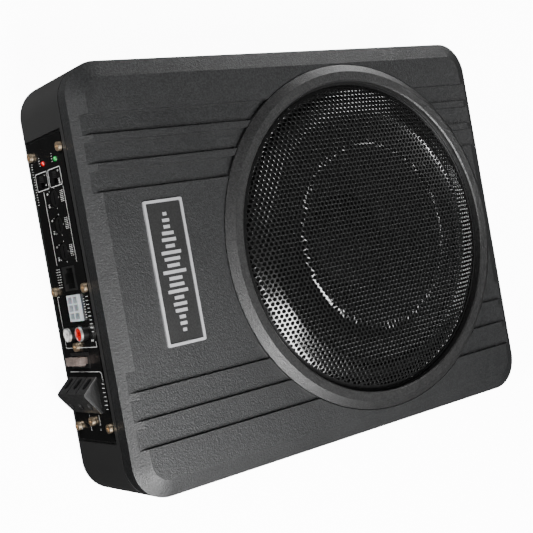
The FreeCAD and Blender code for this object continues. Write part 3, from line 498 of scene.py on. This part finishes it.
badge_silver = metal("badge_silver", (0.66, 0.66, 0.68, 1.0), 0.36, share=0.72)
give(badge_silver, "badge_frame")
badge_dark = stipple("badge_dark", grey(0.008), grey(0.022), 0.42, 0.00012)
give(badge_dark, "badge_plate")

plate_low, plate_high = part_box("badge_plate")
bars = Recipe("level_bars", "Across", "Along", "Height", "Length", "Width", "Bar", "Rise")
count = 19
strip = bars.add("GeometryNodeMeshLine", {"mode": "END_POINTS"}, {
    "Count": count, "Start Location": (0, -0.5, 0), "Offset": (0, 0.5, 0)})
order = bars.add("GeometryNodeInputIndex") / (count - 1)
swell = (order * math.pi).math("SINE", order * math.pi)
beat = (order * 41.0).math("SINE", order * 41.0) * 0.5 + 0.5
tall = bars.size("Width") * (0.16 + 0.84 * swell * (0.35 + 0.65 * beat))
strip = bars.add("GeometryNodeSetPosition", {}, {
    "Geometry": strip, "Position": bars.add("ShaderNodeCombineXYZ", {}, {
        "X": bars.size("Across"),
        "Y": bars.size("Along") + (order - 0.5) * bars.size("Length"),
        "Z": bars.size("Height")})})
one_bar = bars.add("GeometryNodeMeshCube", {}, {"Size": (1, 1, 1)})
strip = bars.add("GeometryNodeInstanceOnPoints", {}, {
    "Points": strip, "Instance": one_bar, "Scale": bars.add("ShaderNodeCombineXYZ", {}, {
        "X": tall, "Y": bars.size("Bar"), "Z": bars.size("Rise")})})
bars.grow(strip, badge_silver)
BAR_RISE = 0.4 * MM
bars.make("badge_bars", badge_silver, "cabinet", "badge_silver", {
    "Across": (plate_low.x + plate_high.x) / 2, "Along": 0.0,
    "Height": plate_high.z + BAR_RISE / 2, "Length": 66.0 * MM, "Width": 15.0 * MM,
    "Bar": 1.9 * MM, "Rise": BAR_RISE})


# Loudspeaker: a pressed steel basket screwed under the lid, with a pulp cone, rubber roll and
# cloth spider, over a ferrite motor. Only glints of it show through the grille.
def painted(name, colour, roughness, wobble=0.10):
    """Plain satin paint or moulding with faint orange peel."""
    finish = Finish(name, {})
    peel = finish.noise(600.0, 2.0)
    drift = finish.noise(30.0, 3.0)
    deep = tuple(0.75 * part for part in colour[:3]) + (1.0,)
    finish.set({"Base Color": finish.blend(drift, deep, colour),
                "Roughness": roughness + wobble * (peel - 0.5)})
    finish.relief(peel, 0.00003)
    return finish


basket_black = painted("basket_black", grey(0.008), 0.5)
give(basket_black, "driver_basket", "driver_terminal")
# Painted shade: the cone and the roll are coloured darker than bare pulp and rubber, for the dark
# inside of the cabinet seen through the grille.
shaded_cone_pulp = Finish("shaded_cone_pulp", {"Specular IOR Level": 0.1})
fibres = shaded_cone_pulp.noise(1.0, 4.0, shaded_cone_pulp.stretched((500.0, 140.0, 300.0), (0, 0, 0.5)))
shaded_cone_pulp.set({"Base Color": shaded_cone_pulp.blend(fibres, grey(0.002), grey(0.005)),
               "Roughness": 0.72 + 0.2 * fibres})
shaded_cone_pulp.relief(fibres, 0.0001)
give(shaded_cone_pulp, "speaker_cone", "dust_cap")
rubber_black = painted("rubber_black", grey(0.003), 0.70)
rubber_black.set({"Specular IOR Level": 0.15})


def flexing(node, profile, finish, count):
    """A ring in sectors, turned from one profile about the loudspeaker's axis."""
    half = math.pi / count
    for index in range(count):
        middle = half * 2 * index
        name = "%s_%d" % (node, index + 1)
        mesh = lathe(name, profile, (centre_x, 0.0), 12, middle - half, half * 2)
        mesh.materials.append(finish.material)
        sector = bpy.data.objects.new(name, mesh)
        bpy.context.scene.collection.objects.link(sector)
        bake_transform(sector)
        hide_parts(node)


roll_low, roll_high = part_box("roll_surround")
roll_edge = roll_high.x - centre_x
cone_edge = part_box("speaker_cone")[1].x - centre_x
RUBBER = 0.8 * MM
roll_size = roll_high.z - roll_low.z
roll_middle = cone_edge + roll_size + 0.3 * MM
roll_foot = cone_edge - 3.4 * MM
ROLL_STEPS = 14


def roll_arc(size, steps):
    """Points of the half round, whose step 0 is on the cone's side."""
    angles = [math.pi * (1 - step / ROLL_STEPS) for step in steps]
    return [(roll_middle + size * math.cos(angle), roll_low.z + size * math.sin(angle))
            for angle in angles]


roll_profile = [(roll_foot, roll_low.z), (roll_foot, roll_low.z + RUBBER)]
roll_profile += roll_arc(roll_size, range(1, ROLL_STEPS))
roll_profile += [(roll_edge, roll_low.z + RUBBER), (roll_edge, roll_low.z)]
roll_profile += roll_arc(roll_size - RUBBER, range(ROLL_STEPS, -1, -1))
flexing("roll_surround", roll_profile, rubber_black, 16)
give(foam_black, "driver_gasket")
spider_cloth = Finish("spider_cloth", {"Roughness": 0.9})
weave_x = spider_cloth.add("ShaderNodeTexWave", {"bands_direction": "X"},
                           {"Vector": spider_cloth.place, "Scale": 350.0})
weave_y = spider_cloth.add("ShaderNodeTexWave", {"bands_direction": "Y"},
                           {"Vector": spider_cloth.place, "Scale": 350.0})
weave = spider_cloth.add("ShaderNodeSeparateColor", {}, {"Color": weave_x}) * \
    spider_cloth.add("ShaderNodeSeparateColor", {}, {"Color": weave_y})
spider_cloth.set({"Base Color": spider_cloth.blend(weave, (0.30, 0.16, 0.05, 1),
                                                   (0.52, 0.32, 0.12, 1))})
spider_cloth.relief(weave, 0.0001)
spider_low, spider_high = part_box("spider")
spider_edge = spider_high.x - centre_x
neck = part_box("coil_former")[1].x - centre_x + 0.1 * MM
CLOTH = 0.7 * MM
WAVES = 6
STEPS = 48
wave = (spider_high.z - spider_low.z - CLOTH) / 2
top_side = [(neck + (spider_edge - neck) * step / STEPS,
             spider_high.z - wave + wave * math.sin(2 * math.pi * WAVES * step / STEPS))
            for step in range(STEPS + 1)]
under_side = [(reach, height - CLOTH) for reach, height in reversed(top_side)]
flexing("spider", top_side + under_side, spider_cloth, 8)
former_brown = painted("former_brown", (0.22, 0.10, 0.04, 1.0), 0.45)
give(former_brown, "coil_former")
copper_wire = metal("copper_wire", (0.80, 0.36, 0.18, 1.0), 0.28, (900.0, 900.0, 5200.0))
give(copper_wire, "voice_coil")
plate_zinc = metal("plate_zinc", (0.62, 0.63, 0.66, 1.0), 0.34, (300.0, 300.0, 1500.0))
give(plate_zinc, "back_plate", "top_plate", "pole_piece")
ferrite = painted("ferrite", grey(0.035), 0.70, 0.2)
give(ferrite, "ring_magnet")


# Screws: pan heads with a cross recess. The small ones on the panel are zinc plated and passivated
# yellow, and the long ones that hold the lid and the loudspeaker are black.
zinc_yellow = metal("zinc_yellow", (0.95, 0.76, 0.54, 1.0), 0.34, (700.0, 700.0, 700.0))
give(zinc_yellow, "panel_screws", "jack_screws", "board_screws")
zinc_black = painted("zinc_black", grey(0.02), 0.35)
give(zinc_black, "lid_screws", "driver_screws")


# Control panel: a flat moulded plate in glossy black, screwed into the end recess. Its lines,
# frames, scales and signs are screen printed in white.
panel_black = Finish("panel_black", {"Specular IOR Level": 0.45})
smears = panel_black.noise(60.0, 3.0)
panel_black.set({"Base Color": panel_black.blend(smears, grey(0.003), grey(0.005)),
                 "Roughness": 0.16 + 0.16 * smears})
panel_black.relief(panel_black.noise(900.0), 0.00001)
give(panel_black, "control_panel")

print_white = Finish("print_white", {"Roughness": 0.55})
ink = print_white.noise(2400.0, 2.0)
print_white.set({"Base Color": print_white.blend(ink, grey(0.55), grey(0.80))})
print_white.relief(ink, 0.00001)

panel_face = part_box("control_panel")[0].x
INK = 0.05 * MM


def on_panel(along, high, out=0.0):
    """A point on the panel, from millimetres along the cabinet's width and up from its base."""
    return Vector((panel_face - out, along * MM, high * MM))


def stroke(shape, start, end, wide):
    """A printed line between two places on the panel."""
    start = Vector(start)
    end = Vector(end)
    run = (end - start).normalized() * (wide / 2)
    side = Vector((-run.y, run.x))
    outline = [start - run - side, end + run - side, end + run + side, start - run + side]
    top = [shape.verts.new(on_panel(corner.x, corner.y, INK)) for corner in outline]
    foot = [shape.verts.new(on_panel(corner.x, corner.y)) for corner in outline]
    shape.faces.new(top[::-1])
    shape.faces.new(foot)
    for here in range(4):
        after = (here + 1) % 4
        shape.faces.new((top[here], top[after], foot[after], foot[here]))


def path(shape, places, wide, closed=False):
    """Printed lines from place to place."""
    for start, end in zip(places, places[1:] + places[:1] if closed else places[1:]):
        stroke(shape, start, end, wide)


def sign(shape, text, along, high, size):
    """Printed figures, upright on the panel and centred on a place."""
    curve = bpy.data.curves.new("sign", "FONT")
    curve.body = text
    curve.size = size * MM
    curve.align_x = "CENTER"
    curve.align_y = "CENTER"
    curve.extrude = INK / 2
    curve.resolution_u = 3
    holder = bpy.data.objects.new("sign", curve)
    bpy.context.scene.collection.objects.link(holder)
    graph = bpy.context.evaluated_depsgraph_get()
    letters = bpy.data.meshes.new_from_object(holder.evaluated_get(graph))
    middle = on_panel(along, high, INK / 2)
    letters.transform(Matrix((
        (0, 0, -1, middle.x), (-1, 0, 0, middle.y), (0, 1, 0, middle.z), (0, 0, 0, 1))))
    figures = bmesh.new()
    figures.from_mesh(letters)
    bmesh.ops.remove_doubles(figures, verts=figures.verts, dist=0.002 * MM)
    bmesh.ops.recalc_face_normals(figures, faces=figures.faces)
    figures.to_mesh(letters)
    figures.free()
    shape.from_mesh(letters)
    bpy.data.objects.remove(holder)


def scale_ticks(shape, along, high, reach, count, sweep=270.0):
    """Short printed ticks round a control, with its gap at the bottom."""
    for tick in range(count):
        angle = math.radians(90 + sweep / 2 - sweep * tick / (count - 1))
        out = Vector((-math.cos(angle), math.sin(angle)))
        middle = Vector((along, high))
        stroke(shape, middle + out * reach, middle + out * (reach + 0.5), 0.2)


def label_dashes(shape, along, high, length, step=1.5, tall=1.1):
    """A row of short upright dashes that stands for a caption."""
    for index in range(int(length / step)):
        here = along - index * step
        low = high - tall / 2 if index % 3 else high - tall / 4
        stroke(shape, (here, low), (here, high + tall / 2), 0.26)


KNOB_PLACES = [52.9, 37.4, 22.0]
SWITCH_HEIGHTS = [15.8, 33.6]
printing = bmesh.new()
THICK = 0.28
for low, high in ((7.8, 23.5), (25.3, 41.4)):
    path(printing, [(59.3, low + 0.8), (59.3, high - 0.8), (60.1, high), (68.6, high),
                    (69.4, high - 0.8), (69.4, low + 0.8), (68.6, low), (60.1, low)],
         THICK, closed=True)
for high in (15.3, 41.6):
    stroke(printing, (58.0, high), (15.2, high), THICK)
path(printing, [(-3.2, 10.6), (-3.2, 8.0), (-33.6, 8.0), (-33.6, 20.0)], THICK)
path(printing, [(-33.6, 25.8), (-33.6, 47.2), (-30.4, 47.2)], THICK)
stroke(printing, (-1.8, 47.2), (-1.8, 43.0), THICK)
path(printing, [(-47.6, 7.4), (-47.6, 45.4), (-49.0, 47.0), (-53.2, 47.0)], THICK)
for high in (22.3, 34.2):
    stroke(printing, (-72.6, high), (-78.4, high), THICK)
for along in KNOB_PLACES:
    scale_ticks(printing, along, 27.0, 6.1, 5)
    sign(printing, "0", along + 3.4, 19.6, 2.5)
    sign(printing, "10", along - 3.4, 19.6, 2.5)
    for high in (36.6, 38.8):
        label_dashes(printing, along + 3.2, high, 7.6, 1.0, 1.4)
for high, figures in zip(SWITCH_HEIGHTS, (("1", "2"), ("0", "180"))):
    sign(printing, figures[0], 67.4, high + 4.4, 2.3)
    sign(printing, figures[1], 61.8, high + 4.4, 2.3)
for high in (21.2, 38.1):
    label_dashes(printing, 77.8, high - 4.6, 6.0)
label_dashes(printing, 76.0, 5.6, 26.0)
label_dashes(printing, 12.6, 13.8, 12.8, 1.5, 1.8)
label_dashes(printing, 12.6, 16.8, 12.8, 1.5, 1.8)
label_dashes(printing, -5.0, 45.4, 24.0, 2.2, 2.9)
label_dashes(printing, -6.0, 41.2, 12.0)
label_dashes(printing, -54.6, 46.0, 17.0, 2.4, 2.9)
for high, figure in ((9.0, "+"), (22.0, "~"), (34.0, "-")):
    sign(printing, figure, -81.0, high, 4.0)
sign(printing, "1", -29.8, 12.2, 3.4)
sign(printing, "2", -29.8, 43.4, 3.4)
bmesh.ops.triangulate(printing, faces=printing.faces)
print_mesh = bpy.data.meshes.new("panel_print")
printing.to_mesh(print_mesh)
printing.free()
piece("panel_print", print_mesh, print_white, "cabinet")


# Indicator lights: 3 mm domed lamps in tinted clear epoxy, green for power and red for the
# protection circuit, with a faint glow.
def lamp(name, colour, glow):
    """Tinted epoxy with a small bright core."""
    finish = Finish(name, {"Roughness": 0.12, "Coat Weight": 0.8, "Emission Strength": 0.12,
                           "Subsurface Weight": 0.2, "Subsurface Scale": 0.0008})
    haze = finish.noise(1800.0, 2.0)
    finish.set({"Base Color": finish.blend(haze, colour, glow),
                "Emission Color": finish.blend(haze, colour, glow)})
    return finish


lamp_green = lamp("lamp_green", (0.0, 0.16, 0.02, 1.0), (0.0, 0.34, 0.05, 1.0))
lamp_red = lamp("lamp_red", (0.40, 0.0, 0.0, 1.0), (0.72, 0.0, 0.004, 1.0))
give(lamp_green, "power_light")
give(lamp_red, "protect_light")


# Slide switches: a black lever with moulded grips, running in a housing on the board.
# The input switch has the lower place and the phase switch the upper one.
plastic_black = painted("plastic_black", grey(0.010), 0.42)
give(plastic_black, "input_switch_body", "input_switch_lever",
     "phase_switch_body", "phase_switch_lever", "potentiometers")


# Trimmer knobs: three slotted black knobs almost flush with the panel, for level, crossover and
# bass. Fine ribs are moulded round the part that stands out.
knob_black = painted("knob_black", grey(0.006), 0.34)
ribs = Recipe("knob_ribs", "Front", "Along", "Height", "Radius", "Length")
RIB_COUNT = 28
circle = ribs.add("GeometryNodeMeshCircle", {}, {"Vertices": RIB_COUNT,
                                                 "Radius": ribs.size("Radius")})
turn = ribs.add("GeometryNodeInputIndex") * (2 * math.pi / RIB_COUNT)
rib = ribs.add("GeometryNodeMeshCube", {}, {"Size": (0.36 * MM, 0.30 * MM, 1.0)})
rib = ribs.add("GeometryNodeInstanceOnPoints", {}, {
    "Points": circle, "Instance": rib,
    "Rotation": ribs.add("ShaderNodeCombineXYZ", {}, {"Z": turn}),
    "Scale": ribs.add("ShaderNodeCombineXYZ", {}, {"X": 1.0, "Y": 1.0,
                                                   "Z": ribs.size("Length")})})
rib = ribs.add("GeometryNodeRealizeInstances", {}, {"Geometry": rib})
rib = ribs.add("GeometryNodeTransform", {}, {
    "Geometry": rib, "Rotation": (0, math.radians(90), 0),
    "Translation": ribs.add("ShaderNodeCombineXYZ", {}, {
        "X": ribs.size("Front"), "Y": ribs.size("Along"), "Z": ribs.size("Height")})})
ribs.grow(rib, knob_black)
give(knob_black, "level_knob", "crossover_knob", "bass_knob")
RIB_LENGTH = 3.6 * MM
for knob in ("level_knob", "crossover_knob", "bass_knob"):
    knob_low, knob_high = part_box(knob)
    middle = (knob_low + knob_high) / 2
    ribs.make(knob + "_ribs", knob_black, knob, "knob_black", {
        "Front": knob_low.x + 0.4 * MM + RIB_LENGTH / 2, "Along": middle.y, "Height": middle.z,
        "Radius": (knob_high.y - knob_low.y) / 2, "Length": RIB_LENGTH})


# Remote jack: an eight-way modular socket in black nylon with gold-flashed spring contacts.
jack_black = painted("jack_black", grey(0.014), 0.36)
give(jack_black, "remote_jack", "fuse_holder")
gold = metal("gold", (0.95, 0.70, 0.30, 1.0), 0.20)
give(gold, "remote_jack_contacts")


# Speaker-level input: a shrouded socket in natural white nylon with six plated pins.
nylon_white = Finish("nylon_white", {"Roughness": 0.42, "Subsurface Weight": 0.25,
                                     "Subsurface Scale": 0.001})
milk = nylon_white.noise(220.0, 3.0)
nylon_white.set({"Base Color": nylon_white.blend(milk, (0.40, 0.43, 0.46, 1),
                                                 (0.56, 0.59, 0.62, 1))})
nylon_white.relief(nylon_white.noise(1500.0), 0.00002)
give(nylon_white, "speaker_input_socket")
nickel = metal("nickel", (0.92, 0.91, 0.88, 1.0), 0.26, (900.0, 900.0, 900.0))
give(nickel, "speaker_input_pins", "terminal_pins")


# Line-level inputs: plated phono barrels in a black block, each with a bright lip and a dark
# sleeve behind it. The lower insert is white for the left channel, the upper one red for the right.
BARREL_LIP = 1.3 * MM
insert_white = painted("insert_white", (0.78, 0.77, 0.75, 1.0), 0.35)
insert_red = painted("insert_red", (0.62, 0.006, 0.004, 1.0), 0.32)
give(insert_white, "left_phono_insert")
give(insert_red, "right_phono_insert")
give(plastic_black, "phono_block")
barrel_plate = Finish("barrel_plate", {"Metallic": 0.9})
along_barrel = barrel_plate.add("ShaderNodeSeparateXYZ", {}, {"Vector": barrel_plate.place}, "X")
behind_lip = along_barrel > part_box("phono_barrels")[0].x + BARREL_LIP
barrel_plate.set({
    "Base Color": barrel_plate.blend(behind_lip, (0.92, 0.91, 0.88, 1.0), grey(0.05)),
    "Roughness": 0.22 + 0.20 * barrel_plate.noise(900.0)})
give(barrel_plate, "phono_barrels")


# Fuse: a flat blade fuse in smoky pink clear plastic, pushed into its holder in the panel.
fuse_clear = Finish("fuse_clear", {"Roughness": 0.22, "Transmission Weight": 0.35, "IOR": 1.5})
veins = fuse_clear.noise(1.0, 3.0, fuse_clear.stretched((200.0, 500.0, 120.0)))
fuse_clear.set({"Base Color": fuse_clear.blend(veins, (0.10, 0.078, 0.068, 1),
                                               (0.36, 0.29, 0.26, 1))})
fuse_clear.relief(veins, 0.0001)
give(fuse_clear, "fuse_body")
give(nickel, "fuse_blades")


def blocks(name, boxes):
    """Small rectangular bars, each from its lowest corner to its highest."""
    shape = bmesh.new()
    for low, high in boxes:
        size = high - low
        bmesh.ops.create_cube(shape, size=1.0, matrix=Matrix.Translation((low + high) / 2)
                              @ Matrix.Diagonal((size.x, size.y, size.z, 1.0)))
    mesh = bpy.data.meshes.new(name)
    shape.to_mesh(mesh)
    shape.free()
    return mesh


fuse_low, fuse_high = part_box("fuse_body")
grips = []
for index in range(5):
    low = fuse_high.z - (1.6 + 1.7 * index) * MM
    grips.append((Vector((fuse_low.x - 0.35 * MM, fuse_low.y + 0.5 * MM, low)),
                  Vector((fuse_low.x + 0.2 * MM, fuse_high.y - 0.5 * MM, low + 0.8 * MM))))
piece("fuse_grips", blocks("fuse_grips", grips), fuse_clear, "fuse")


# Power terminal: a wedge with three slotted clamp screws set down in keyholes on its upper slope
# and the wire entries below. It is grained all over, the end face too; the wells are painted near
# black as painted shade, and a narrow band just under the end face is painted light as a painted
# highlight.
RIDGE_DROP = 8.8 * MM
FOOT_DROP = 12.0 * MM
WELL_TOP = 1.0 * MM
WELL_FOOT = 0.8 * MM
HIGHLIGHT_BAND = 0.4 * MM
END_SKIN = 0.03 * MM
terminal_grey = stipple("terminal_grey", grey(0.008), grey(0.034), 0.44, 0.00014)
block_low, block_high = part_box("terminal_block")
axes = terminal_grey.add("ShaderNodeSeparateXYZ", {}, {"Vector": terminal_grey.place}, "X")
outward, along, height = [Number(terminal_grey, axes.socket.node.outputs[axis]) for axis in "XYZ"]
ridge_y = block_high.y - RIDGE_DROP
wedge_out = panel_face - block_low.x
below_top = block_high.y - along - (panel_face - outward) * (RIDGE_DROP / wedge_out)
above_foot = along - ridge_y + FOOT_DROP - (panel_face - outward) * (FOOT_DROP / wedge_out)
# Painted shade: the wells below the slopes are coloured near black.
well_shade = (below_top > WELL_TOP) * (above_foot > WELL_FOOT)
# Painted highlight: a narrow band just under the end face is coloured light grey.
edge_highlight = (height > block_high.z - HIGHLIGHT_BAND) * (height < block_high.z - END_SKIN)
terminal_colour_with_well_shade = terminal_grey.blend(well_shade, terminal_grey.colour, grey(0.002))
terminal_grey.set({"Base Color": terminal_grey.blend(edge_highlight * (1 - well_shade), terminal_colour_with_well_shade,
                                                     grey(0.20))})
give(terminal_grey, "terminal_block")
give(plate_zinc, "clamp_screw_1", "clamp_screw_2", "clamp_screw_3")


# Amplifier: glass-fibre boards with a green mask, a ring-core transformer with yellow tape,
# capacitors in blue sleeves, and four power transistors on an aluminium bar.
board_green = Finish("board_green", {"Roughness": 0.35, "Coat Weight": 0.3})
tracks = board_green.add("ShaderNodeTexBrick", {}, {
    "Vector": board_green.place, "Scale": 160.0, "Color1": (0.01, 0.10, 0.04, 1),
    "Color2": (0.015, 0.14, 0.05, 1), "Mortar": (0.03, 0.24, 0.10, 1)})
board_green.set({"Base Color": tracks})
board_green.relief(board_green.noise(900.0), 0.00002)
give(board_green, "control_board", "amplifier_board")
core_yellow = painted("core_yellow", (0.62, 0.42, 0.05, 1.0), 0.4)
give(core_yellow, "toroid_transformer")
can_blue = painted("can_blue", (0.02, 0.05, 0.24, 1.0), 0.3)
give(can_blue, "filter_capacitors")
heatsink = metal("heatsink", (0.66, 0.67, 0.69, 1.0), 0.36, (20.0, 900.0, 900.0))
give(heatsink, "heat_spreader")
give(plastic_black, "power_transistors")


# Leads: two twisted-strand wires in red sleeving, from the loudspeaker's tags down to
# the amplifier board.
wire_red = painted("wire_red", (0.50, 0.01, 0.01, 1.0), 0.4)
give(wire_red, "driver_leads")
